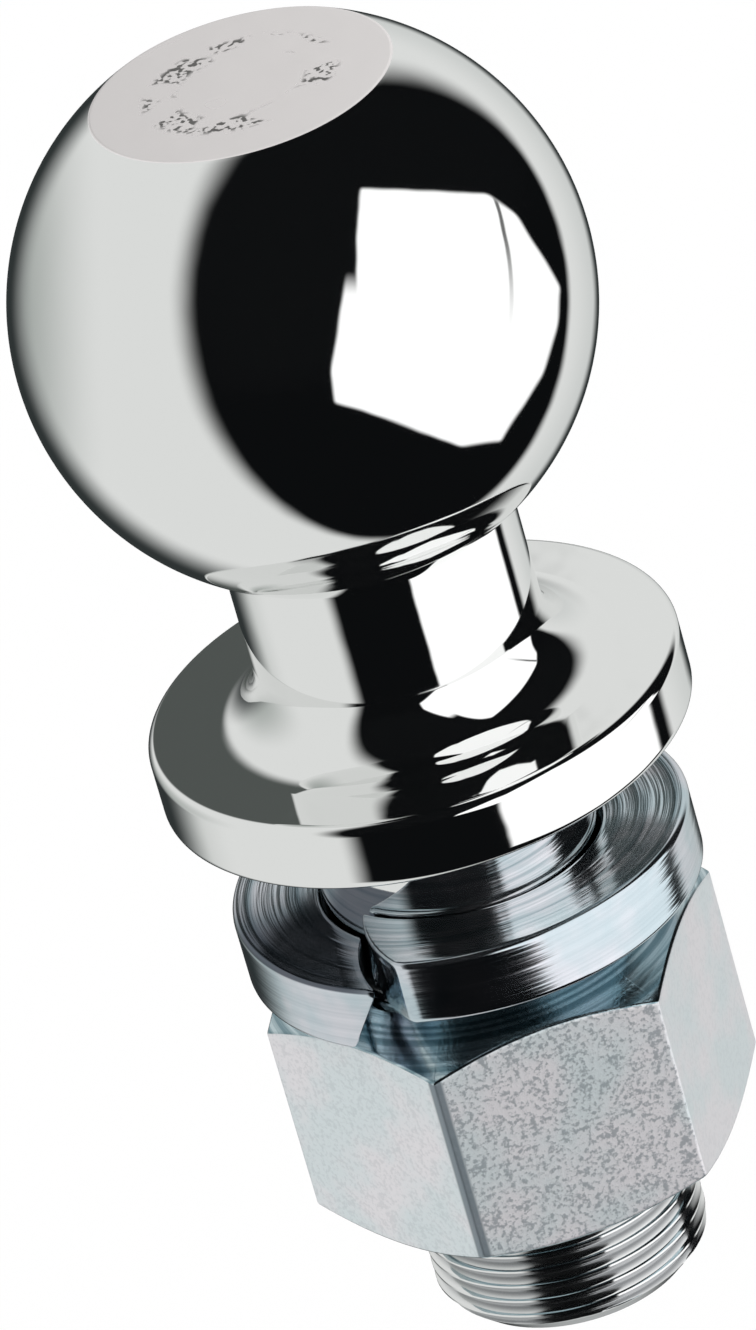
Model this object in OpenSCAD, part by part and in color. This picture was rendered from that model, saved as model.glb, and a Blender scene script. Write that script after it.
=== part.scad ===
// Trailer hitch ball with its split lock washer and its hex nut.
// Millimetres, +Z up, front along -Y. The origin is the centre of the seat, where
// the underside of the flange meets the axis of the shank.

/* [Ball] */
// Diameter of the towing ball
ball_d = 50.8; // [47.6:0.1:58.8]
// Height of the ball's centre above the seat
ball_rise = 44.8; // [43:0.5:60]
// Diameter of the flat on top of the ball
flat_d = 26.5; // [10:0.5:34]
// Width of the bevel around that flat
flat_bevel = 0.4; // [0.2:0.1:1]

/* [Neck and flange] */
// Diameter of the neck under the ball
neck_d = 26; // [22:0.5:32]
// Radius of the fillet from the neck into the flange
neck_fillet = 5.5; // [2:0.5:7]
// Diameter of the flange
flange_d = 47.8; // [44:0.1:60]
// Thickness of the flange
flange_t = 6.4; // [4:0.1:10]
// Radius that rounds both edges of the flange
flange_round = 0.9; // [0.4:0.1:1.6]

/* [Shank] */
// Diameter of the plain shank
shank_d = 25.4; // [21:0.1:32]
// Length of the shank from the seat to its end
shank_len = 55.4; // [48:0.1:80]
// Length of the plain shank above the thread
plain_len = 17.5; // [12:0.5:26]
// Pitch of the thread (1.5875 is 16 threads to the inch)
pitch = 1.5875; // [1.27:0.0001:3.175]
// Bevel at the end of the thread, along the radius
end_bevel = 1.9; // [1:0.1:3]

/* [Lock washer] */
// Width of the spring section, from the hole to the rim
spring_w = 7.9; // [6:0.1:10]
// Thickness of the spring section
spring_t = 6.3; // [4:0.1:8]
// Height by which the raised end stands above the low end
spring_rise = 2.8; // [1:0.1:4]
// Depth below the seat of the top of the low end
washer_drop = 12.4; // [10:0.1:20]

/* [Hex nut] */
// Width of the nut across its flats
across_flats = 36.5; // [34:0.1:50]
// Height of the nut
nut_h = 25.2; // [18:0.1:30]
// Slope of the cones that bevel the nut's corners
corner_slope = 28; // [25:1:45]
// Width of each end face around the shank
face_w = 2; // [2:0.1:5]
// Bevel at each mouth of the threaded hole
mouth_bevel = 0.9; // [0.4:0.1:1.5]
// Angle from the front to the corner on the left
nut_turned = -21.8; // [-60:0.1:60]

/* [Fits] */
// Gap between the shank and the washer's hole, on the radius
washer_play = 0.3; // [0.2:0.05:0.6]
// Gap between the two threads, on the radius
thread_play = 0.15; // [0.12:0.01:0.3]
// Gap between the lock washer and the nut
rest_gap = 0.05; // [0.02:0.01:0.1]

/* [Hidden] */
$fn = 96;

ball_r = ball_d / 2;
neck_r = neck_d / 2;
flange_r = flange_d / 2;
shank_r = shank_d / 2;
flat_r = flat_d / 2;
flat_z = sqrt(ball_r * ball_r - flat_r * flat_r);

// The crest is a little inside the plain shank, so the two meet over a flat ring.
thread_r = shank_r - 0.1;
thread_lap = 0.5;
turn_steps = 36;
crest_w = pitch / 8;
root_w = pitch / 4;
flank_w = (pitch - crest_w - root_w) / 2;
thread_depth = flank_w / tan(30);
ridge_offsets = [0, crest_w, crest_w + flank_w, crest_w + flank_w + root_w];

hole_r = shank_r + washer_play;
rim_r = hole_r + spring_w;
nut_top = -washer_drop - spring_t - rest_gap;
corner_r = across_flats / 2 / cos(30);
mouth_r = thread_r + thread_play + mouth_bevel;

// Angles of the washer's two ends at the hole and at the rim, from the front.
// The low end is cut at a slant, so its lower edge lies further back.
low_end_top = [-52, -29];
low_end_bottom = [-58, -40];
raised_end = [-48, -22.5];
spring_steps = 72;

function polar(r, a, z) = [r * cos(a), r * sin(a), z];
function from_front(r, a, z) = [r * sin(a), -r * cos(a), z];
function blend(from, to, s) = from + (to - from) * s;

// Radius of ridge k at height z. The bevel narrows the end at low, and the groove
// fades out over the last turn below fade_top.
function ridge_r(k, z, crest, low, bevel, fade_top) =
    let (depth = thread_depth * min(max((fade_top - z) / pitch, 0), 1))
    min(k % 4 < 2 ? crest : crest - depth, crest - bevel + max(z - low, -bevel));

// A rod with a right-hand thread. Its rows follow the edges of the crest and the
// root round the helix, and each row joins the fourth one above it after a turn.
// Every thread starts on the same lattice of turns, so that threads mesh.
module threaded_rod(low, high, crest, bevel = 0, fade_top = 1000) {
    start = pitch * floor(low / pitch - 1.25);
    rows = 4 * (ceil((high - low) / pitch) + 3);
    last = rows - 1;
    edge = turn_steps - 1;
    ridges = [
        for (k = [0:last])
            for (a = [0:edge])
                let (z = start + pitch * (floor(k / 4) + a / turn_steps) + ridge_offsets[k % 4])
                polar(ridge_r(k, z, crest, low, bevel, fade_top), 360 * a / turn_steps, z)
    ];
    ends = [[0, 0, start + pitch / 2], [0, 0, start + pitch * rows / 4]];
    function at(k, a) = a < turn_steps ? k * turn_steps + a : (k + 4) * turn_steps;
    skin = [
        for (k = [0:last - 1])
            for (a = [0:edge])
                if (a < edge || k + 5 <= last)
                    each [[at(k, a), at(k + 1, a + 1), at(k, a + 1)],
                          [at(k, a), at(k + 1, a), at(k + 1, a + 1)]]
    ];
    foot = concat([for (a = [0:edge]) at(0, a)], [for (k = [4:-1:1]) at(k, 0)]);
    head = concat([for (a = [0:edge]) at(last, a)], [for (k = [1:4]) at(last - k, edge)]);
    fans = [
        for (i = [0:len(foot) - 1])
            let (j = (i + 1) % len(foot))
            each [[foot[i], foot[j], rows * turn_steps],
                  [head[j], head[i], rows * turn_steps + 1]]
    ];
    intersection() {
        polyhedron(concat(ridges, ends), concat(skin, fans));
        translate([0, 0, low]) cylinder(r = crest + 2, h = high - low);
    }
}

// A ball cut off flat on top, with a bevelled edge.
module flat_topped_ball() {
    translate([0, 0, ball_rise]) intersection() {
        sphere(r = ball_r);
        translate([0, 0, -ball_r]) cylinder(r = ball_r + 1, h = ball_r + flat_z);
        translate([0, 0, flat_z - ball_d])
            cylinder(r1 = flat_r - flat_bevel + ball_d, r2 = flat_r - flat_bevel, h = ball_d);
    }
}

// A disc with both edges rounded.
module rounded_disc(r, h, edge) {
    rotate_extrude() {
        square([r - edge, h]);
        translate([0, edge]) square([r, h - 2 * edge]);
        for (y = [edge, h - edge]) translate([r - edge, y]) circle(edge);
    }
}

// The ring that blends a post of radius r into the plane below it.
module foot_fillet(r, blend_r) {
    rotate_extrude() translate([r - 1, 0]) difference() {
        square([blend_r + 1, blend_r]);
        translate([blend_r + 1, blend_r]) circle(blend_r);
    }
}

module ball_stud() {
    color("#d9dadb") {
        flat_topped_ball();
        translate([0, 0, flange_t / 2]) cylinder(r = neck_r, h = ball_rise - flange_t / 2);
        translate([0, 0, flange_t]) foot_fillet(neck_r, neck_fillet);
        rounded_disc(flange_r, flange_t, flange_round);
        translate([0, 0, -plain_len]) cylinder(r = shank_r, h = plain_len + flange_t / 2);
        threaded_rod(-shank_len, thread_lap - plain_len, thread_r, end_bevel, -plain_len);
    }
}

// A slab that climbs round the axis from the low end to the raised end, wider than
// the spring on both sides. Its corners run hole, rim, rim, hole at each step.
module climbing_slab() {
    radii = [shank_r - 2, rim_r + 2];
    points = [
        for (i = [0:spring_steps])
            let (s = i / spring_steps, top = spring_rise * s - washer_drop)
            each [for (c = [[0, 0], [1, 0], [1, 1], [0, 1]])
                let (first = c[1] == 0 ? low_end_top[c[0]] : low_end_bottom[c[0]])
                from_front(radii[c[0]], blend(first, raised_end[c[0]] - 360, s),
                           top - spring_t * c[1])]
    ];
    sides = [
        for (i = [0:spring_steps - 1])
            for (c = [0:3])
                let (p = 4 * i + c, q = 4 * i + (c + 1) % 4)
                each [[p, q, q + 4], [p, q + 4, p + 4]]
    ];
    n = 4 * spring_steps;
    caps = [[0, 2, 1], [0, 3, 2], [n, n + 1, n + 2], [n, n + 2, n + 3]];
    polyhedron(points, concat(sides, caps));
}

module lock_washer() {
    color("#aab2be") intersection() {
        climbing_slab();
        translate([0, 0, -washer_drop - 2 * spring_t]) difference() {
            cylinder(r = rim_r, h = 3 * spring_t);
            translate([0, 0, -1]) cylinder(r = hole_r, h = 3 * spring_t + 2);
        }
    }
}

// The cone that bevels the corners at one end of the nut, and the bar above it.
// It runs on past the corners, so that it crosses them cleanly.
module corner_cone() {
    wide_r = corner_r + 2;
    h = (wide_r - shank_r - face_w) * tan(corner_slope);
    cylinder(r1 = shank_r + face_w, r2 = wide_r, h = h);
    translate([0, 0, h]) cylinder(r = wide_r, h = nut_h - h);
}

// The bevel at one mouth of the threaded hole, starting 1 mm outside it.
module mouth_cone() {
    h = 1 + mouth_bevel + thread_depth + 0.3;
    translate([0, 0, -1]) cylinder(r1 = mouth_r + 1, r2 = mouth_r + 1 - h, h = h);
}

module upside_down() {
    translate([0, 0, nut_h]) mirror([0, 0, 1]) children();
}

module hex_nut() {
    color("#c6cbd2") difference() {
        translate([0, 0, nut_top - nut_h]) difference() {
            intersection() {
                rotate([0, 0, nut_turned - 90]) cylinder(r = corner_r, h = nut_h, $fn = 6);
                corner_cone();
                upside_down() corner_cone();
            }
            mouth_cone();
            upside_down() mouth_cone();
        }
        threaded_rod(nut_top - nut_h - 1, nut_top + 1, thread_r + thread_play);
    }
}

ball_stud();
lock_washer();
hex_nut();
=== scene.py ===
"""Looks of the trailer hitch ball: a chromed ball stud, a split lock washer and a hex nut.

Lengths are in metres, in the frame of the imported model: +Z runs up through the ball,
the front is along -Y, and the origin is the centre of the seat under the flange.
Every surface is a grid of points worked out as whole arrays.
"""

from __future__ import annotations

import logging
import math
from dataclasses import dataclass, field
from enum import Enum
from typing import Any, Sequence

import bpy
import numpy as np
from mathutils import Matrix, Vector

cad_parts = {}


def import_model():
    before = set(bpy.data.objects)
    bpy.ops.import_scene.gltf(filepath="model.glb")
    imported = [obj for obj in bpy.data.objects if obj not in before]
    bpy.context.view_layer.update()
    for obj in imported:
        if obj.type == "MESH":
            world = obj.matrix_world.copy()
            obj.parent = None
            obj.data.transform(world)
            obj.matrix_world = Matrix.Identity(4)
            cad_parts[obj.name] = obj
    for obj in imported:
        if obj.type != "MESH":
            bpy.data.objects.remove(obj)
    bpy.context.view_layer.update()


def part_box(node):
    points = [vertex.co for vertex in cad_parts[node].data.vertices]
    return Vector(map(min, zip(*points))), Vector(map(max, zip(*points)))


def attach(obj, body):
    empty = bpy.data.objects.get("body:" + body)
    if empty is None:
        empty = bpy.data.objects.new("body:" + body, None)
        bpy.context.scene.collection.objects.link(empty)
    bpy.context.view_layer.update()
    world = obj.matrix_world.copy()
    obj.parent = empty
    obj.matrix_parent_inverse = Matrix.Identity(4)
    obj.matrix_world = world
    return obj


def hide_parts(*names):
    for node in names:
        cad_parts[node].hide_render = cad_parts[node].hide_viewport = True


LOG = logging.getLogger("hitch_ball")
MM = 0.001
TURN = 2.0 * math.pi
Array = np.ndarray


class Body(Enum):
    """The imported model's bodies that the pieces ride on."""

    STUD = "stud"
    WASHER = "washer"
    NUT = "nut"


class Side(Enum):
    """Which side of a thread's grid its metal lies on."""

    INSIDE = 1
    OUTSIDE = -1


# ---------------------------------------------------------------------------
# Outlines and grids
# ---------------------------------------------------------------------------


@dataclass(frozen=True)
class Corner:
    """A corner of a profile: its radius and height, and the radius that rounds it."""

    r: Any
    z: Any
    round: float = 0.0


def spaced(start: Array, end: Array, steps: int, hold: float = 0.03 * MM) -> Array:
    """Points on straight lines: a close one at each end, which keeps shading flat, and even ones between.

    Args:
        start: first points, one row each.
        end: last points.
        steps: even steps between the close points.
        hold: distance of the close points from the ends.

    Returns:
        Points of shape (steps + 1, columns, 2), without the two ends themselves.
    """
    length = np.linalg.norm(end - start, axis=-1, keepdims=True)
    near = np.minimum(hold / np.maximum(length, 1e-9), 0.3)
    shares = np.linspace(0, 1, steps + 1)[:, None, None]
    return start + (end - start) * (near + (1 - 2 * near) * shares)


def softened(corners: Sequence[Corner], columns: int = 1, steps: int = 7, between: int = 4) -> Array:
    """Rounds the corners of profiles, one profile to a column.

    Each corner becomes an arc that touches both neighbouring lines, at the corner's radius
    times the tangent of half its turn from it. The arc's points turn evenly from one
    touching direction to the other, as sine-weighted sums of the two.

    Args:
        corners: the corners in order; their places are numbers or one value per column.
        columns: number of columns.
        steps: steps in each arc.
        between: steps along each straight part.

    Returns:
        Radii and heights, of shape (rows, columns, 2).
    """
    places = np.stack([np.stack([np.broadcast_to(c.r, columns), np.broadcast_to(c.z, columns)], -1)
                       for c in corners]).astype(float)
    rows = [places[:1]]
    for i in range(1, len(corners)):
        start, end = rows[-1][-1], places[i]
        arc = [end[None]]
        if i < len(corners) - 1 and corners[i].round > 0:
            before = end - places[i - 1]
            before /= np.linalg.norm(before, axis=-1, keepdims=True)
            after = places[i + 1] - end
            after /= np.linalg.norm(after, axis=-1, keepdims=True)
            turn = np.arccos(np.clip((before * after).sum(-1, keepdims=True), -1, 1))
            reach = corners[i].round * np.tan(turn / 2)
            middle = (after - before) / np.linalg.norm(after - before, axis=-1, keepdims=True)
            centre = end + middle * corners[i].round / np.cos(turn / 2)
            from_centre, to_centre = end - before * reach - centre, end + after * reach - centre
            s = np.linspace(0, 1, steps + 1)[:, None, None]
            weighted = np.sin((1 - s) * turn) * from_centre + np.sin(s * turn) * to_centre
            arc = [centre + weighted / np.sin(turn)]
        rows += [spaced(start, arc[0][0], between), arc[0]]
    return np.concatenate(rows)


def arc_points(centre: tuple[float, float], radius: float, start: float, end: float, steps: int) -> Array:
    """An arc of one profile: centre plus radius times (cos a, sin a), a going from start to end.

    Args:
        centre: radius and height of its centre.
        radius: its own radius.
        start: first angle in degrees.
        end: last angle in degrees.
        steps: number of even steps.

    Returns:
        Radii and heights, of shape (steps + 1, 1, 2).
    """
    a = np.radians(np.linspace(start, end, steps + 1))
    return np.stack([centre[0] + radius * np.cos(a), centre[1] + radius * np.sin(a)], -1)[:, None]


def quads_of_grid(rows: int, cols: int, wrap: int) -> Array:
    """Faces between neighbouring rows and columns of a grid.

    The last column joins the first one, wrap rows further on: 0 closes a ring, and a
    helix whose rows climb by one turn joins wrap rows up.

    Args:
        rows: number of rows.
        cols: number of columns.
        wrap: rows by which the seam is shifted.

    Returns:
        Vertex numbers, four to a face.
    """
    row, col = np.meshgrid(np.arange(rows - 1), np.arange(cols), indexing="ij")
    past = (col == cols - 1).astype(int)
    next_col = (col + 1) % cols
    here, right = row * cols + col, (row + past * wrap) * cols + next_col
    quads = np.stack([here, right, right + cols, here + cols], axis=-1).reshape(-1, 4)
    return quads[quads.max(axis=1) < rows * cols]


def new_piece(name: str, points: Array, faces: list[Array], smooth_below: float = 32.0) -> bpy.types.Object:
    """Makes a mesh object from points and faces, smooth except across sharp edges.

    Points in the same place become one, and faces that shrink to a line are dropped.

    Args:
        name: the piece's name.
        points: vertex places, one row each.
        faces: arrays of faces with three or four vertex numbers in a row.
        smooth_below: angle in degrees above which an edge is sharp.

    Returns:
        The object, at the origin.
    """
    cells = np.round(points / (0.0005 * MM)).astype(np.int64)
    kept, first, merged = np.unique(cells, axis=0, return_index=True, return_inverse=True)
    points, merged = points[first], merged.reshape(-1)
    loops, counts = [], []
    for face in faces:
        face = merged[face]
        same = face == np.roll(face, -1, axis=1)
        whole = face[same.sum(axis=1) == 0]
        loops.append(whole.reshape(-1))
        counts.append(np.full(len(whole), face.shape[1]))
        if face.shape[1] == 4:
            pinched = face[same.sum(axis=1) == 1]
            keep = ~(pinched == np.roll(pinched, -1, axis=1))
            loops.append(pinched[keep])
            counts.append(np.full(len(pinched), 3))
    loop, count = np.concatenate(loops), np.concatenate(counts)
    mesh = bpy.data.meshes.new(name)
    mesh.vertices.add(len(points))
    mesh.vertices.foreach_set("co", points.astype(np.float32).reshape(-1))
    mesh.loops.add(len(loop))
    mesh.loops.foreach_set("vertex_index", loop.astype(np.int32))
    mesh.polygons.add(len(count))
    starts = np.concatenate([[0], np.cumsum(count)[:-1]])
    mesh.polygons.foreach_set("loop_start", starts.astype(np.int32))
    mesh.polygons.foreach_set("use_smooth", np.ones(len(count), bool))
    mesh.update(calc_edges=True)
    mesh.validate()
    mesh.set_sharp_from_angle(angle=math.radians(smooth_below))
    piece = bpy.data.objects.new(name, mesh)
    bpy.context.scene.collection.objects.link(piece)
    return piece


def fan(points: Array, ring: Array, height: float, up: bool) -> tuple[Array, Array]:
    """Closes a ring of vertices with triangles to a new hub on the axis.

    Args:
        points: vertex places so far.
        ring: vertex numbers of the ring, anticlockwise seen from above.
        height: height of the hub.
        up: whether the triangles face up.

    Returns:
        The vertex places with the hub added, and the triangles.
    """
    after = np.roll(ring, -1)
    pair = (ring, after) if up else (after, ring)
    tris = np.stack([pair[0], pair[1], np.full(len(ring), len(points))], axis=-1)
    return np.vstack([points, [[0.0, 0.0, height]]]), tris


def lathe(name: str, path: Array, cols: int = 256) -> bpy.types.Object:
    """Turns a profile about the Z axis: point (r cos t, r sin t, z) for every angle t.

    On its outer side the profile runs upwards, so that faces point outwards. Its ends
    close onto the axis.

    Args:
        name: the piece's name.
        path: radii and heights, of shape (rows, 1, 2).
        cols: number of steps round.

    Returns:
        The turned piece.
    """
    angles = TURN * np.arange(cols) / cols
    r, z = path[..., 0], path[..., 1]
    points = np.stack([r * np.cos(angles), r * np.sin(angles), z + 0 * angles], axis=-1).reshape(-1, 3)
    quads = quads_of_grid(len(path), cols, 0)
    points, foot = fan(points, np.arange(cols), float(z[0, 0]), up=False)
    points, head = fan(points, np.arange(cols) + (len(path) - 1) * cols, float(z[-1, 0]), up=True)
    return new_piece(name, points, [quads, foot, head])


def from_front(r: Array, angle: Array, z: Array) -> Array:
    """Points at radius r and height z, at an angle in radians from the front towards +X."""
    return np.stack([r * np.sin(angle), -r * np.cos(angle), z], axis=-1)


# ---------------------------------------------------------------------------
# Shader maths
# ---------------------------------------------------------------------------


class Wire:
    """A shader socket that Python expressions can add, multiply and compare."""

    def __init__(self, board: "Board", socket: Any) -> None:
        """Wraps an output socket of one board."""
        self.board = board
        self.socket = socket

    def _math(self, operation: str, *values: Any) -> "Wire":
        """Adds one Math node."""
        sockets = dict(enumerate(values))
        return self.board.node("ShaderNodeMath", {"operation": operation}, sockets)

    def __add__(self, other: Any) -> "Wire":
        """Sum."""
        return self._math("ADD", self, other)

    __radd__ = __add__

    def __sub__(self, other: Any) -> "Wire":
        """Difference."""
        return self._math("SUBTRACT", self, other)

    def __rsub__(self, other: Any) -> "Wire":
        """Difference from a number."""
        return self._math("SUBTRACT", other, self)

    def __mul__(self, other: Any) -> "Wire":
        """Product."""
        return self._math("MULTIPLY", self, other)

    __rmul__ = __mul__

    def __truediv__(self, other: Any) -> "Wire":
        """Quotient."""
        return self._math("DIVIDE", self, other)

    def __gt__(self, other: Any) -> "Wire":
        """1 where this is more than the other."""
        return self._math("GREATER_THAN", self, other)

    def power(self, exponent: float) -> "Wire":
        """This raised to a power."""
        return self._math("POWER", self, exponent)

    def absolute(self) -> "Wire":
        """Its size without its sign."""
        return self._math("ABSOLUTE", self)

    def most(self, other: Any) -> "Wire":
        """The larger of the two."""
        return self._math("MAXIMUM", self, other)

    def ease(self, low: float, high: float, start: float = 0.0, end: float = 1.0) -> "Wire":
        """Goes smoothly from start to end while this goes from low to high.

        Args:
            low: value where the change starts.
            high: value where it ends.
            start: result below low.
            end: result above high.

        Returns:
            The eased value.
        """
        settings = {"interpolation_type": "SMOOTHSTEP", "clamp": True}
        values = {"Value": self, "From Min": low, "From Max": high, "To Min": start, "To Max": end}
        return self.board.node("ShaderNodeMapRange", settings, values)


class Board:
    """The node tree of one material or of the world."""

    def __init__(self, tree: bpy.types.NodeTree) -> None:
        """Empties the tree and starts on it."""
        self.tree = tree
        tree.nodes.clear()

    def node(self, kind: str, settings: dict[str, Any] | None = None,
             values: dict[Any, Any] | None = None, output: Any = 0) -> Any:
        """Adds any node.

        Args:
            kind: the node's type.
            settings: its properties, set first.
            values: numbers, colours or wires for its inputs, by name or number.
            output: name or number of the output that is wanted.

        Returns:
            The wanted output.
        """
        made = self.tree.nodes.new(kind)
        for key, value in (settings or {}).items():
            setattr(made, key, value)
        for key, value in (values or {}).items():
            if isinstance(value, Wire):
                self.tree.links.new(value.socket, made.inputs[key])
            else:
                made.inputs[key].default_value = value
        return None if output is None else Wire(self, made.outputs[output])

    def blend(self, share: Any, start: Any, end: Any) -> Wire:
        """Mixes two colours.

        Args:
            share: 0 gives start and 1 gives end.
            start: a colour or wire.
            end: a colour or wire.

        Returns:
            The mixed colour.
        """
        made = self.tree.nodes.new("ShaderNodeMix")
        made.data_type = "RGBA"
        for place, value in ((0, share), (6, start), (7, end)):
            if isinstance(value, Wire):
                self.tree.links.new(value.socket, made.inputs[place])
            elif place == 0:
                made.inputs[0].default_value = value
            else:
                made.inputs[place].default_value = (*value, 1.0)
        return Wire(self, made.outputs[2])

    def noise(self, where: Wire, scale: float, detail: float = 2.0, rough: float = 0.5) -> Wire:
        """Smooth random values from 0 to 1, scale of them to the metre."""
        values = {"Vector": where, "Scale": scale, "Detail": detail, "Roughness": rough}
        return self.node("ShaderNodeTexNoise", {"normalize": True}, values, "Fac")

    def along(self, where: Wire, direction: Sequence[float]) -> Wire:
        """Length of a vector along a fixed direction: their dot product."""
        settings = {"operation": "DOT_PRODUCT"}
        return self.node("ShaderNodeVectorMath", settings, {0: where, 1: tuple(direction)}, "Value")

    def split(self, where: Wire, axis: int) -> Wire:
        """One coordinate of a vector."""
        return self.node("ShaderNodeSeparateXYZ", {}, {0: where}, axis)


# ---------------------------------------------------------------------------
# Finishes
# ---------------------------------------------------------------------------


class Finish:
    """A metal finish: a Principled surface whose wires are made by a subclass."""

    name = "finish"

    def material(self) -> bpy.types.Material:
        """Makes the material, ready to be put on a piece."""
        made = bpy.data.materials.new(self.name)
        made.use_nodes = True
        board = Board(made.node_tree)
        where = board.node("ShaderNodeTexCoord", output="Object")
        values = {"Metallic": 1.0, **self.surface(board, where)}
        surface = board.node("ShaderNodeBsdfPrincipled", {}, values)
        board.node("ShaderNodeOutputMaterial", {}, {"Surface": surface}, None)
        return made

    def surface(self, board: Board, where: Wire) -> dict[str, Any]:
        """Works out what varies over the surface.

        Args:
            board: the material's board.
            where: object coordinates.

        Returns:
            Values and wires for the surface's sockets.
        """
        raise NotImplementedError

    def put_on(self, *pieces: bpy.types.Object) -> None:
        """Gives pieces this finish alone."""
        made = self.material()
        for piece in pieces:
            piece.data.materials.clear()
            piece.data.materials.append(made)


@dataclass(frozen=True)
class Chrome(Finish):
    """Polished chrome, with a satin flat on top that carries a ring of worn punch marks."""

    name = "polished_chrome"
    flat_z: float = 0.0
    flat_r: float = 0.0
    ring_r: float = 7.2 * MM
    ring_w: float = 3.2 * MM

    def surface(self, board: Board, where: Wire) -> dict[str, Any]:
        """Mirror chrome, and on the flat a satin grey with the marks cut into it."""
        x, y, z = (board.split(where, i) for i in range(3))
        on_flat = (z - (self.flat_z - 0.06 * MM)) > 0.0
        radius = (x * x + y * y).power(0.5)
        ring = ((radius - self.ring_r).absolute()).ease(0.3 * self.ring_w, 0.55 * self.ring_w, 1.0, 0.0)
        clumps = board.noise(where, 260.0, 0.0).ease(0.44, 0.50)
        grains = board.noise(where, 1400.0, 1.0).ease(0.49, 0.57)
        marks = ring * clumps * grains * on_flat
        smudge = board.noise(where, 60.0, 3.0)
        bare = board.blend(on_flat, (0.88, 0.885, 0.88), (0.86, 0.825, 0.82))
        colour = board.blend(marks * 0.9, bare, (0.06, 0.06, 0.055))
        rough = 0.022 + 0.02 * smudge + on_flat * 0.24 + marks * 0.2
        wave = board.noise(where, 120.0, 2.0)
        bump = board.node("ShaderNodeBump", {}, {"Strength": 0.04, "Distance": 0.001,
                                                 "Height": wave - marks * 0.5}, "Normal")
        return {"Base Color": colour, "Roughness": rough, "Metallic": 1.0 - 0.6 * on_flat, "Normal": bump}


@dataclass(frozen=True)
class ThreadChrome(Finish):
    """Chrome over a cut thread: a little rougher, with painted shade darkening the grooves."""

    name = "thread_chrome"
    crest_r: float = 12.6 * MM
    depth: float = 0.86 * MM

    def surface(self, board: Board, where: Wire) -> dict[str, Any]:
        """Chrome with painted shade that darkens it from the crest down to the root."""
        x, y = board.split(where, 0), board.split(where, 1)
        radius = (x * x + y * y).power(0.5)
        down = (self.crest_r - radius) / self.depth
        groove = down.ease(0.1, 1.0)
        # painted shade: the base colour darkens towards the root, standing in for shade in the grooves.
        colour = board.blend(groove, (0.86, 0.865, 0.865), (0.42, 0.43, 0.44))
        rough = 0.035 + 0.05 * board.noise(where, 400.0, 2.0) + groove * 0.12
        return {"Base Color": colour, "Roughness": rough}


@dataclass(frozen=True)
class BrightZinc(Finish):
    """Blue-white zinc on spring steel, with streaks along the coil and a patch of painted dark reflection
    on its top.
    """

    name = "washer_zinc"

    def surface(self, board: Board, where: Wire) -> dict[str, Any]:
        """Cool grey with fine streaks that run round the axis, and a painted dark reflection on the top
        face at the front left.
        """
        x, y, z = (board.split(where, i) for i in range(3))
        radius = (x * x + y * y).power(0.5)
        rings = board.node("ShaderNodeCombineXYZ", {}, {0: radius, 1: z, 2: 0.0})
        streaks = board.noise(rings, 900.0, 3.0, 0.6)
        patches = board.noise(where, 160.0, 3.0)
        tint = board.blend(patches.ease(0.35, 0.65), (0.58, 0.68, 0.73), (0.76, 0.765, 0.82))
        level = board.split(board.node("ShaderNodeTexCoord", output="Normal"), 2).ease(0.3, 0.6)
        streaked = board.blend(streaks.ease(0.35, 0.75) * (0.35 + 0.65 * level), tint, (0.22, 0.31, 0.35))
        # painted dark reflection: the up-facing top at the front left is darkened in the base colour,
        # standing in for the shaded underside of the flange mirrored there.
        painted_dark_reflection = level * x.ease(-13.0 * MM, -6.0 * MM, 0.88, 0.0) * y.ease(-4.0 * MM, 6.0 * MM, 1.0, 0.0)
        colour = board.blend(painted_dark_reflection, streaked, (0.05, 0.06, 0.085))
        rough = 0.07 + 0.12 * patches
        bump = board.node("ShaderNodeBump", {}, {"Strength": 0.12, "Distance": 0.0005,
                                                 "Height": streaks}, "Normal")
        return {"Base Color": colour, "Roughness": rough, "Normal": bump}


@dataclass(frozen=True)
class MottledZinc(Finish):
    """Forged steel under thin zinc: pitted with fine dark specks, some faces more than others."""

    name = "nut_zinc"

    def surface(self, board: Board, where: Wire) -> dict[str, Any]:
        """Pale zinc, speckled by the amount that the mesh's own speckle value gives, with a painted shade
        line along one corner.
        """
        amount = board.node("ShaderNodeAttribute", {"attribute_name": "speckle"}, {}, "Fac")
        facing = board.node("ShaderNodeTexCoord", output="Normal")
        turned = board.split(facing, 2).absolute().ease(0.3, 0.5)
        x, y = board.split(where, 0), board.split(where, 1)
        rings = (x * x + y * y).power(0.5)
        circles = board.noise(board.node("ShaderNodeCombineXYZ", {}, {0: rings}), 1700.0, 2.0)
        patches = board.noise(where, 140.0, 3.0)
        grains = board.noise(where, 2300.0, 2.0, 0.6)
        blots = board.noise(where, 700.0, 2.0)
        pits = (0.8 * grains + 0.2 * blots).ease(0.46, 0.62) * amount
        tint = board.blend(patches.ease(0.35, 0.65), (0.70, 0.765, 0.785), (0.80, 0.785, 0.81))
        # painted shade: a dark line along the vertical corner at the front left, standing in for the shade
        # seen along that edge.
        beside = x.ease(-8.4 * MM, -8.1 * MM)
        painted_corner_shade = rings.ease(20.62 * MM, 20.80 * MM) * beside * x.ease(-7.0 * MM, -6.0 * MM, 1.0, 0.0)
        sides = board.blend((pits * 0.62).most(painted_corner_shade * 0.9), tint, (0.16, 0.20, 0.23))
        cut = board.blend(circles.ease(0.4, 0.6), (0.20, 0.30, 0.34), (0.55, 0.66, 0.70))
        colour = board.blend(turned, sides, cut)
        rough = (0.30 + 0.10 * patches + pits * 0.1) * (1.0 - 0.62 * turned)
        bump = board.node("ShaderNodeBump", {}, {"Strength": 0.10, "Distance": 0.0005,
                                                 "Height": 0.4 * grains * amount}, "Normal")
        return {"Base Color": colour, "Roughness": rough, "Metallic": 0.55 + 0.45 * turned, "Normal": bump}


# ---------------------------------------------------------------------------
# Threads
# ---------------------------------------------------------------------------


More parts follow.
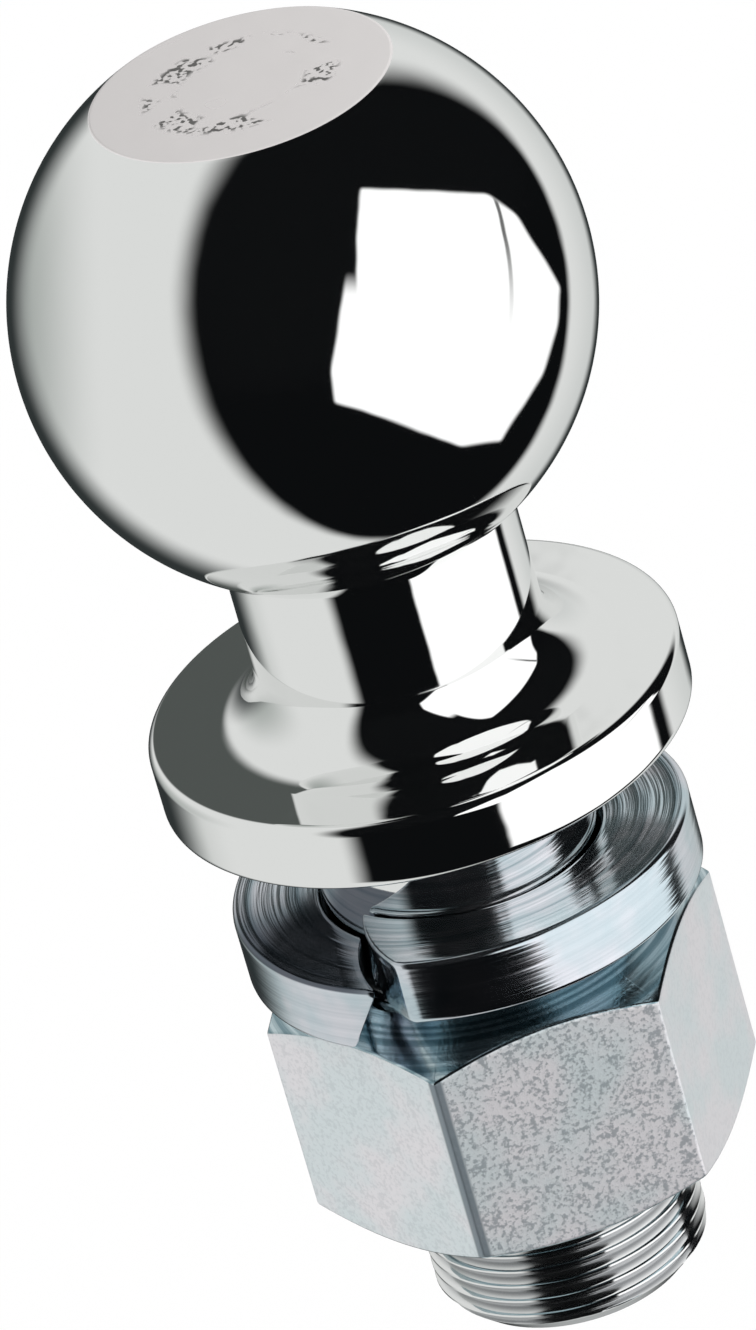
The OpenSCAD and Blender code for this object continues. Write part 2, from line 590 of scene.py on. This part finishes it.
@dataclass(frozen=True)
class Thread:
    """A right-hand thread whose rows follow the helix, at height pitch times (turns + angle / 360)."""

    pitch: float = 1.5875 * MM
    crest_share: float = 1 / 8
    root_share: float = 1 / 4
    rows_per_turn: int = 24
    cols: int = 96

    @property
    def depth(self) -> float:
        """Depth of the groove, from flanks at 30 degrees to the radius."""
        flank = self.pitch * (1 - self.crest_share - self.root_share) / 2
        return flank / math.tan(math.radians(30))

    def groove(self, share: Array) -> Array:
        """Depth at a share of the pitch past the start of the crest.

        It is zero on the crest, full on the root, and straight on the flanks; a cosine
        eases a little into both.

        Args:
            share: place within the pitch, from 0 to 1.

        Returns:
            Depth there, in metres.
        """
        flank = (1 - self.crest_share - self.root_share) / 2
        down = np.clip((share - self.crest_share) / flank, 0, 1)
        back = np.clip((1 - share) / flank, 0, 1)
        linear = np.minimum(down, back)
        return self.depth * (0.75 * linear + 0.25 * (1 - np.cos(np.pi * linear)) / 2)

    def grid(self, low: float, high: float, side: Side, crest: float, end_r: Any) -> tuple[Array, Array]:
        """Points and faces of a threaded surface between two heights.

        Rows past an end are drawn together onto the circle in which that end closes.

        Args:
            low: height of the lower end.
            high: height of the upper end.
            side: which side its metal lies on.
            crest: radius of the profile's outer flats.
            end_r: function of height and plain radius that gives the true radius.

        Returns:
            Vertex places, rows by columns, and faces.
        """
        first = math.floor(low / self.pitch) - 2
        turns = math.ceil(high / self.pitch) + 1 - first
        k = np.arange(turns * self.rows_per_turn)[:, None]
        share = (k % self.rows_per_turn) / self.rows_per_turn
        angle = TURN * np.arange(self.cols)[None] / self.cols
        height = self.pitch * (first + k / self.rows_per_turn + angle / TURN)
        z = np.clip(height, low, high)
        r = end_r(z, crest - self.groove(share) + 0 * angle)
        points = np.stack([r * np.cos(angle), r * np.sin(angle), z], axis=-1).reshape(-1, 3)
        quads = quads_of_grid(len(k), self.cols, self.rows_per_turn)
        return points, quads if side is Side.INSIDE else quads[:, ::-1]

    def ring(self, r: float, z: float) -> Array:
        """The circle of points at one end, in the grid's own columns."""
        angle = TURN * np.arange(self.cols) / self.cols
        return np.stack([r * np.cos(angle), r * np.sin(angle), z + 0 * angle], axis=-1)


# ---------------------------------------------------------------------------
# The three sub-assemblies
# ---------------------------------------------------------------------------


@dataclass
class BallStud:
    """The one-piece chromed ball, neck, flange, plain shank and threaded end."""

    flat_z: float
    end_z: float
    flange_r: float = 23.9 * MM
    ball_r: float = 25.4 * MM
    ball_z: float = 44.8 * MM
    neck_r: float = 13.0 * MM
    fillet: float = 5.5 * MM
    flange_t: float = 6.4 * MM
    flange_round: float = 0.9 * MM
    shank_r: float = 12.7 * MM
    plain: float = 17.5 * MM
    thread_r: float = 12.6 * MM
    bevel: float = 1.9 * MM
    flat_edge: float = 0.5 * MM
    lap: float = 0.4 * MM
    core_r: float = 2 * MM
    centre_r: float = 0.5 * MM
    ball_steps: int = 150
    thread: Thread = field(default_factory=Thread)

    def profile(self) -> Array:
        """Profile from the plain shank's lower end up to the flat: arcs, and lines between them."""
        neck_top = self.ball_z - math.sqrt(self.ball_r ** 2 - self.neck_r ** 2)
        shank_end = -self.plain
        lower = softened([
            Corner(self.core_r, shank_end),
            Corner(self.shank_r, shank_end, 0.2 * MM),
            Corner(self.shank_r, 0.0),
            Corner(self.flange_r, 0.0, self.flange_round),
            Corner(self.flange_r, self.flange_t, self.flange_round),
            Corner(self.neck_r, self.flange_t, self.fillet),
            Corner(self.neck_r, neck_top),
        ], steps=12, between=6)
        inner = self.ball_r - self.flat_edge
        top = self.flat_z - self.ball_z
        edge_r = math.sqrt(inner ** 2 - (top - self.flat_edge) ** 2)
        start = -math.degrees(math.acos(self.neck_r / self.ball_r))
        end = math.degrees(math.atan2(top - self.flat_edge, edge_r))
        ball = arc_points((0.0, self.ball_z), self.ball_r, start + 0.05, end, self.ball_steps)
        edge = arc_points((edge_r, self.flat_z - self.flat_edge), self.flat_edge, end, 90, 8)
        middle = np.array([[self.centre_r, self.flat_z]])
        return np.concatenate([lower, ball, edge[1:], spaced(edge[-1], middle, 10)])

    def end_radius(self, z: Array, r: Array) -> Array:
        """Radius of the thread near its ends: bevelled below, its groove fading out above."""
        fade = np.clip((-self.plain - z) / self.thread.pitch, 0, 1)
        r = self.thread_r - (self.thread_r - r) * fade
        return np.minimum(r, self.thread_r - self.bevel + (z - self.end_z))

    def build(self) -> list[bpy.types.Object]:
        """Builds the turned part and the thread.

        Returns:
            The two pieces.
        """
        turned = lathe("ball_and_shank", self.profile())
        top = self.lap - self.plain
        points, quads = self.thread.grid(self.end_z, top, Side.INSIDE, self.thread_r, self.end_radius)
        cols = self.thread.cols
        foot = np.arange(len(points), len(points) + cols)
        points = np.vstack([points, self.thread.ring(self.thread_r - self.bevel, self.end_z)])
        head = foot + cols
        points = np.vstack([points, self.thread.ring(self.thread_r, top)])
        points, foot_tris = fan(points, foot, self.end_z, up=False)
        points, head_tris = fan(points, head, top, up=True)
        threaded = new_piece("shank_thread", points, [quads, foot_tris, head_tris], 40.0)
        return [turned, threaded]

    def dress(self, pieces: list[bpy.types.Object]) -> None:
        """Chromes both pieces and lets them stand for the model's stud."""
        Chrome(flat_z=self.flat_z).put_on(pieces[0])
        ThreadChrome().put_on(pieces[1])
        for piece in pieces:
            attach(piece, Body.STUD.value)
            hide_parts("ball_stud")


@dataclass
class LockWasher:
    """One turn of spring steel that climbs from a slanting low end to a raised end."""

    rim_r: float
    hole_r: float = 13.0 * MM
    thick: float = 6.3 * MM
    climb: float = 2.8 * MM
    low_top: float = -12.4 * MM
    edge: float = 0.55 * MM
    low_end_top: tuple[float, float] = (-52.0, -29.0)
    low_end_bottom: tuple[float, float] = (-58.0, -40.0)
    raised_end: tuple[float, float] = (-48.0, -22.5)
    steps: int = 240

    def section(self) -> Array:
        """The spring's rounded section, as shares of its width and of its thickness.

        Returns:
            Places (u, v), u going from the hole to the rim and v from the top down. They
            run from the middle of the top out to the rim, down, and back round the hole.
        """
        width = self.rim_r - self.hole_r
        middle, foot = Corner(width / 2, 0.0), -self.thick
        corners = [middle, Corner(width, 0.0, self.edge), Corner(width, foot, self.edge),
                   Corner(0.0, foot, self.edge), Corner(0.0, 0.0, self.edge), middle]
        loop = softened(corners, steps=5, between=5)[:-1, 0]
        return np.stack([loop[:, 0] / width, -loop[:, 1] / self.thick], -1)

    def build(self) -> list[bpy.types.Object]:
        """Sweeps the section round the axis.

        At a share s of the sweep the section's point (u, v) lies at radius hole + u width
        and height top + climb s - v thickness. Its angle goes evenly from the low end's to
        the raised end's, and both of those depend on u, and the low end's on v as well.
        Both ends draw in over a short distance, so that their edges are rounded.

        Returns:
            The piece.
        """
        def slanting(angles: tuple[float, float], share_out: Array) -> Array:
            """Angle of an end's edge, which runs from one angle at the hole to one at the rim."""
            return angles[0] + (angles[1] - angles[0]) * share_out

        u, v = self.section().T
        draw = self.edge * 0.7
        share = np.linspace(0, 1, self.steps + 1)
        length = TURN * (self.hole_r + self.rim_r) / 2
        in_steps = np.array([0.0, 0.13, 0.5, 1.0]) * draw
        near = in_steps / length
        s = np.concatenate([near, share[2:-2], 1 - near[::-1]])[:, None]
        depth = np.concatenate([in_steps, np.full(len(share) - 4, draw), in_steps[::-1]])[:, None]
        inset = draw - np.sqrt(np.maximum(draw ** 2 - (draw - depth) ** 2, 0))
        width = self.rim_r - self.hole_r
        u_in = 0.5 + (u - 0.5) * (1 - 2 * inset / width)
        v_in = 0.5 + (v - 0.5) * (1 - 2 * inset / self.thick)
        low_end = slanting(self.low_end_top, u_in) * (1 - v_in) + slanting(self.low_end_bottom, u_in) * v_in
        raised = slanting(self.raised_end, u_in) - 360
        angle = np.radians(low_end + (raised - low_end) * s)
        z = self.low_top + self.climb * s - v_in * self.thick
        points = from_front(self.hole_r + u_in * width, angle, z).reshape(-1, 3)
        rows, cols = len(s), len(u)
        quads = quads_of_grid(rows, cols, 0)[:, ::-1]
        first, last = np.arange(cols), np.arange(cols) + (rows - 1) * cols
        hubs = np.stack([points[first].mean(axis=0), points[last].mean(axis=0)])
        caps = [np.stack([np.roll(ring, -1), ring, np.full(cols, len(points) + i)], -1)[:, ::2 * i - 1]
                for i, ring in enumerate((first, last))]
        points = np.vstack([points, hubs])
        return [new_piece("lock_washer_spring", points, [quads, *caps], 40.0)]

    def dress(self, pieces: list[bpy.types.Object]) -> None:
        """Plates the spring and lets it stand for the model's washer."""
        BrightZinc().put_on(*pieces)
        for piece in pieces:
            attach(piece, Body.WASHER.value)
            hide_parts("lock_washer")


@dataclass
class HexNut:
    """The heavy hex nut: a body with bevelled corners, and the thread inside it."""

    top: float
    bottom: float
    flats_r: float = 18.25 * MM
    turned: float = -21.8
    corner_round: float = 0.4 * MM
    face_r: float = 14.7 * MM
    slope: float = 28.0
    mouth_r: float = 13.65 * MM
    bore_r: float = 13.05 * MM
    crest_r: float = 12.75 * MM
    pitting: tuple[float, ...] = (1.0, 0.12, 0.5, 0.3, 0.6, 0.25)
    thread: Thread = field(default_factory=Thread)

    def outline(self) -> tuple[Array, Array]:
        """Directions and radii of a hexagon with rounded corners, seen from above.

        Each corner is an arc that touches both of its sides, and each side holds even
        points between two close ones.

        Returns:
            Unit directions (columns, 2) and radii (columns).
        """
        middle = (self.flats_r - self.corner_round) / math.cos(math.radians(30))
        corner = np.radians(self.turned - 90 + 60 * np.arange(6))[:, None]
        sweep = corner + np.radians(np.linspace(-30, 30, 7))[None]
        arcs = np.stack([middle * np.cos(corner) + self.corner_round * np.cos(sweep),
                         middle * np.sin(corner) + self.corner_round * np.sin(sweep)], -1)
        sides = spaced(arcs[:, -1], np.roll(arcs[:, 0], -1, axis=0), 22)
        loop = np.concatenate([arcs, sides.transpose(1, 0, 2)], axis=1).reshape(-1, 2)
        radius = np.linalg.norm(loop, axis=-1)
        return loop / radius[:, None], radius

    def speckle(self, directions: Array) -> Array:
        """How pitted each column is: most on the face nearest the front, least to its right.

        Args:
            directions: unit directions of the columns.

        Returns:
            A share for each column.
        """
        angle = np.degrees(np.arctan2(directions[:, 0], -directions[:, 1]))
        face = np.floor((angle - self.turned) / 60).astype(int) % 6
        return np.array(self.pitting)[face]

    def build(self) -> list[bpy.types.Object]:
        """Builds the body and the thread insert.

        Returns:
            The two pieces.
        """
        directions, radius = self.outline()
        drop = (radius - self.face_r) * math.tan(math.radians(self.slope))
        bore_drop = self.mouth_r - self.bore_r
        lower = [Corner(self.bore_r, self.bottom + bore_drop),
                 Corner(self.mouth_r, self.bottom, 0.15 * MM),
                 Corner(self.face_r, self.bottom, 0.5 * MM),
                 Corner(radius, self.bottom + drop, 0.45 * MM)]
        upper = [Corner(c.r, self.top + self.bottom - c.z, c.round) for c in lower[::-1]]
        outer = softened(lower + upper, len(radius), steps=6, between=6)
        inner = spaced(outer[-1], outer[0], 4)
        path = np.concatenate([outer, inner])
        points = np.concatenate([path[..., :1] * directions, path[..., 1:]], -1)
        cols = len(radius)
        quads = quads_of_grid(len(path) + 1, cols, 0) % (len(path) * cols)
        body = new_piece("hex_nut_body", points.reshape(-1, 3), [quads], 35.0)
        place = np.empty(3 * len(body.data.vertices), np.float32)
        body.data.vertices.foreach_get("co", place)
        flat = place.reshape(-1, 3)[:, :2]
        directions = flat / np.linalg.norm(flat, axis=1, keepdims=True)
        value = body.data.attributes.new("speckle", "FLOAT", "POINT")
        value.data.foreach_set("value", self.speckle(directions).astype(np.float32))

        low, high = self.bottom + bore_drop, self.top - bore_drop

        def cone(z: Array, r: Array) -> Array:
            """The wider of the thread and of the cone at the nearer mouth."""
            return np.maximum(r, self.bore_r - np.minimum(z - low, high - z))

        grid, faces = self.thread.grid(low, high, Side.OUTSIDE, self.crest_r, cone)
        ring_cols = self.thread.cols
        wall = np.concatenate([self.thread.ring(self.bore_r, low), self.thread.ring(self.bore_r, high)])
        outer_wall = quads_of_grid(2, ring_cols, 0) + len(grid)
        insert = new_piece("hex_nut_thread", np.vstack([grid, wall]), [faces, outer_wall], 40.0)
        return [body, insert]

    def dress(self, pieces: list[bpy.types.Object]) -> None:
        """Plates both pieces and lets them stand for the model's nut."""
        MottledZinc().put_on(*pieces)
        for piece in pieces:
            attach(piece, Body.NUT.value)
            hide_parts("hex_nut")


# ---------------------------------------------------------------------------
# Studio
# ---------------------------------------------------------------------------


@dataclass
class Studio:
    """The camera, the floor and the room that the metal mirrors.

    The room is pale, with a black drape over one half and a bright softbox in front of
    the drape. Both are placed where a mirror ball would show them to the camera: first
    rightwards and then upwards, from -1 to 1 across the ball.
    """

    lens: float = 299.41
    place: tuple[float, float, float] = (0.0, -0.84633, 0.47239)
    aim: tuple[float, float, float] = (-0.00239, 0.0, 0.00877)
    roll: float = -16.065
    floor_z: float = -0.30
    floor_size: float = 12.0
    drape_centre: tuple[float, float] = (0.25, -0.015)
    drape_size: tuple[float, float] = (0.645, 0.785)
    softbox: tuple[tuple[float, float], ...] = (
        (0.196, 0.365), (0.669, 0.361), (0.709, 0.301), (0.804, 0.240), (0.861, 0.095), (0.858, -0.057),
        (0.814, -0.226), (0.669, -0.463), (0.534, -0.486), (0.111, -0.345), (0.095, -0.243))
    softbox_level: float = 1.18

    def axes(self) -> tuple[Vector, Vector, Vector]:
        """The camera's right, up and back directions."""
        forward = (Vector(self.aim) - Vector(self.place)).normalized()
        level = forward.cross(Vector((0, 0, 1))).normalized()
        upright = level.cross(forward)
        turn = math.radians(self.roll)
        right = level * math.cos(turn) + upright * math.sin(turn)
        return right, right.cross(forward), -forward

    def build_camera(self) -> bpy.types.Object:
        """Places the camera."""
        right, up, back = self.axes()
        lens = bpy.data.cameras.new("camera")
        lens.lens = self.lens
        lens.sensor_width = 36.0
        camera = bpy.data.objects.new("camera", lens)
        turn = Matrix((right, up, back)).transposed()
        camera.matrix_world = Matrix.Translation(self.place) @ turn.to_4x4()
        bpy.context.scene.collection.objects.link(camera)
        bpy.context.scene.camera = camera
        return camera

    def build_floor(self) -> bpy.types.Object:
        """Lays the pale floor, well below the part."""
        half = self.floor_size / 2
        mesh = bpy.data.meshes.new("floor")
        mesh.from_pydata([(-half, -half, self.floor_z), (half, -half, self.floor_z),
                          (half, half, self.floor_z), (-half, half, self.floor_z)], [], [(0, 1, 2, 3)])
        floor = bpy.data.objects.new("floor", mesh)
        bpy.context.scene.collection.objects.link(floor)
        made = bpy.data.materials.new("pale_floor")
        made.use_nodes = True
        board = Board(made.node_tree)
        surface = board.node("ShaderNodeBsdfDiffuse", {}, {"Color": (1.0, 1.0, 1.0, 1.0)})
        board.node("ShaderNodeOutputMaterial", {}, {"Surface": surface}, None)
        floor.data.materials.append(made)
        floor.visible_glossy = False
        return floor

    def build_room(self) -> None:
        """Makes the world: white to the camera, the room to mirrors, and soft white to the rest."""
        world = bpy.data.worlds.new("room")
        bpy.context.scene.world = world
        world.use_nodes = True
        board = Board(world.node_tree)
        toward = board.node("ShaderNodeTexCoord", output="Generated")
        right, up, back = self.axes()
        x, y, z = (board.along(toward, axis) for axis in (right, up, back))
        mirrored = self.room_colour(board, x, y, z)
        rays = board.node("ShaderNodeLightPath", output="Is Glossy Ray")
        colour = board.blend(rays, (1.0, 1.0, 1.0), mirrored)
        background = board.node("ShaderNodeBackground", {}, {"Color": colour, "Strength": 1.0})
        board.node("ShaderNodeOutputWorld", {}, {"Surface": background}, None)

    def room_colour(self, board: Board, x: Wire, y: Wire, z: Wire) -> Wire:
        """Colour of the room in a direction.

        The room is laid out as a mirror ball shows it: a direction (x, y, z) is seen at
        u = x / sqrt(2 + 2 z) and v = y / sqrt(2 + 2 z), from -1 to 1 across the ball.

        Args:
            board: the world's board.
            x: share of the direction to the camera's right.
            y: share upwards.
            z: share back towards the camera.

        Returns:
            The colour.
        """
        stretch = (2.0 * (1.0 + z).most(0.0005)).power(0.5)
        u, v = x / stretch, y / stretch
        rim = (u * u + v * v).power(0.5)
        pale = board.blend(u.ease(-1.0, -0.66), (0.36, 0.39, 0.37), (0.78, 0.79, 0.78))
        pale = board.blend(rim.ease(0.90, 1.0), pale, (0.62, 0.64, 0.63))
        left_rim = rim.ease(0.90, 0.985) * u.ease(-0.3, 0.2, 1.0, 0.0)
        pale = board.blend(left_rim.most(rim.ease(0.975, 0.995)), pale, (0.03, 0.036, 0.036))
        shade = u.ease(-0.252, -0.222, 1.0, 0.0) * u.ease(-0.66, -0.50) * v.ease(0.62, 0.76)
        pale = board.blend(shade, pale, (0.085, 0.095, 0.09))
        far_u = (u - self.drape_centre[0]) / self.drape_size[0]
        far_v = (v - self.drape_centre[1]) / self.drape_size[1]
        out = (far_u * far_u + far_v * far_v).power(0.5)
        soft = (far_u - 0.6 * far_v).ease(-1.0, 0.6, 0.085, 0.018)
        draped = ((1.0 - out) / soft).ease(-1.0, 1.0)
        colour = board.blend(draped, pale, (0.004, 0.0045, 0.005))
        lit = None
        for (u0, v0), (u1, v1) in zip(self.softbox, self.softbox[1:] + self.softbox[:1]):
            length = math.hypot(u1 - u0, v1 - v0)
            inward = ((v1 - v0) / length, (u0 - u1) / length)
            edge = ((u - u0) * inward[0] * -1.0 + (v - v0) * inward[1] * -1.0).ease(-0.008, 0.008, 1.0, 0.0)
            lit = edge if lit is None else lit * edge
        lit = lit * (1.0 - u.ease(0.176, 0.190, 1.0, 0.0) * v.ease(0.0, 0.09))
        seam = (u - 0.70 + 0.5 * v * v).absolute().ease(0.003, 0.009, 1.0, 0.0) * v.ease(-0.12, 0.26)
        colour = board.blend(lit, colour, (self.softbox_level,) * 3)
        return board.blend(seam * lit * 0.9, colour, (0.05, 0.05, 0.05))


def main() -> None:
    """Builds and dresses everything."""
    logging.basicConfig(level=logging.INFO, format="%(name)s: %(message)s")
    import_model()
    stud_low, stud_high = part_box("ball_stud")
    _, washer_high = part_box("lock_washer")
    nut_low, nut_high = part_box("hex_nut")
    bpy.context.scene.view_settings.view_transform = "Standard"
    studio = Studio()
    studio.build_camera()
    studio.build_floor()
    studio.build_room()
    parts = [
        BallStud(flat_z=stud_high[2], end_z=stud_low[2]),
        LockWasher(rim_r=washer_high[0]),
        HexNut(top=nut_high[2], bottom=nut_low[2]),
    ]
    for part in parts:
        pieces = part.build()
        part.dress(pieces)
        for piece in pieces:
            LOG.info("%s: %d faces", piece.name, len(piece.data.polygons))


if __name__ == "__main__":
    main()
